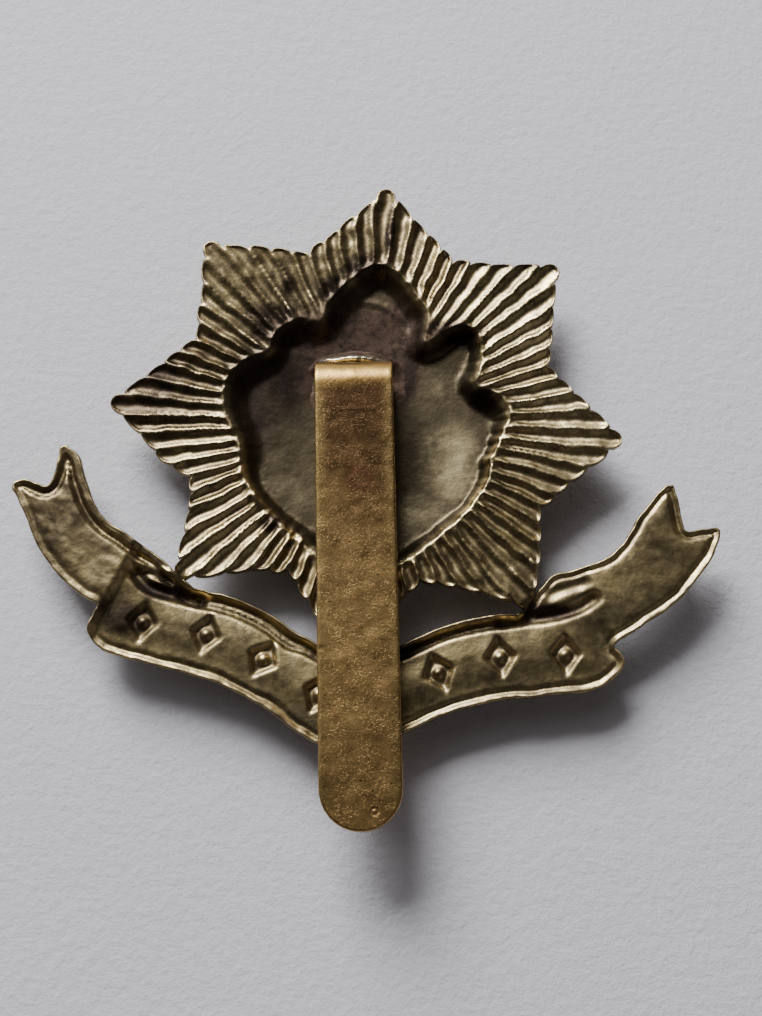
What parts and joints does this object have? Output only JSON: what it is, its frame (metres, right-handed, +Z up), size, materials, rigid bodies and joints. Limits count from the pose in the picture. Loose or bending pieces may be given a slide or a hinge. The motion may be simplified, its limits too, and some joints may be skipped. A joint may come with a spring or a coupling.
{
  "type": "cap badge",
  "caption": "Die-struck star cap badge with a sunken centre, a scroll with forked tails, a metal overlay and a folded slider on its back.",
  "frame": {"origin": "Under the middle of the whole badge's box, on the surface the badge lies on, face down.", "axes": "+Z up, out of the badge's back. +Y from the slider's free end towards the star's top point. +X across the badge, to the right when its back is seen with the top point up."},
  "size_m": [0.0572, 0.0538, 0.0064],
  "materials": {
    "nickel_silver": "aged nickel silver, satin, hammered",
    "gilding_metal": "aged gilding metal, satin",
    "hard_solder": "rough solder with heat stain",
    "slider_brass": "aged rolled brass, mottled"
  },
  "bodies": {
    "root": {"star_scroll_plate": "nickel_silver", "centre_device": "gilding_metal", "device_braze": "hard_solder", "slider": "slider_brass", "slider_braze": "hard_solder"}
  },
  "joints": []
}
